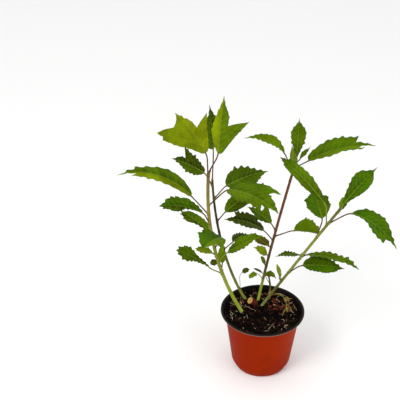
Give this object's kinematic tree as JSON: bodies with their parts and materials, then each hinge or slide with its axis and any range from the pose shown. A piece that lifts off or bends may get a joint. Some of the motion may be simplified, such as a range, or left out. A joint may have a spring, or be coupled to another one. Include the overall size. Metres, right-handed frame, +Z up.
{
  "type": "potted hibiscus shrub",
  "caption": "Young hibiscus shrub without bloom: leaning stems with toothed and lobed leaves, in a terracotta-coloured nursery pot of soil.",
  "frame": {"origin": "centre of the pot's flat underside", "axes": "+Z up along the pot's axis, +X to the right and +Y to the back, as the plant is seen in its main view"},
  "size_m": [0.3208, 0.181, 0.3857],
  "materials": {
    "pot_plastic": "thin moulded plastic, terracotta outside and near black inside, satin",
    "soil": "damp peat and bark mix, crumbly and matte",
    "old_wood": "dry bark with a pale cut face",
    "dry_stalk": "dried stalk, matte",
    "green_stem": "smooth green shoot, satin",
    "brown_stem": "young red-brown bark, satin",
    "leaf": "green leaf with pale veins, satin above and matte below"
  },
  "bodies": {
    "root": {"pot": "pot_plastic", "potting_soil": "soil", "cut_stump": "old_wood", "dry_twig": "dry_stalk", "stem_front_left": "green_stem", "stem_back_left": "green_stem", "stem_middle": "brown_stem", "stem_right": "green_stem", "leafy_tip_front_left": "leaf", "leafy_tip_back_left": "leaf", "leafy_tip_middle": "leaf", "leafy_tip_right": "leaf", "leaf_front_left_1": "leaf", "leaf_front_left_2": "leaf", "leaf_front_left_3": "leaf", "leaf_front_left_4": "leaf", "leaf_front_left_5": "leaf", "leaf_front_left_6": "leaf", "leaf_front_left_7": "leaf", "leaf_front_left_8": "leaf", "leaf_front_left_9": "leaf", "leaf_front_left_10": "leaf", "leaf_back_left_1": "leaf", "leaf_back_left_2": "leaf", "leaf_back_left_3": "leaf", "leaf_back_left_4": "leaf", "leaf_middle_1": "leaf", "leaf_middle_2": "leaf", "leaf_middle_3": "leaf", "leaf_middle_4": "leaf", "leaf_middle_5": "leaf", "leaf_middle_6": "leaf", "leaf_middle_7": "leaf", "leaf_right_1": "leaf", "leaf_right_2": "leaf", "leaf_right_3": "leaf", "leaf_right_4": "leaf", "leaf_right_5": "leaf", "leaf_right_6": "leaf", "leaf_right_7": "leaf", "sprout": "leaf"}
  },
  "joints": []
}
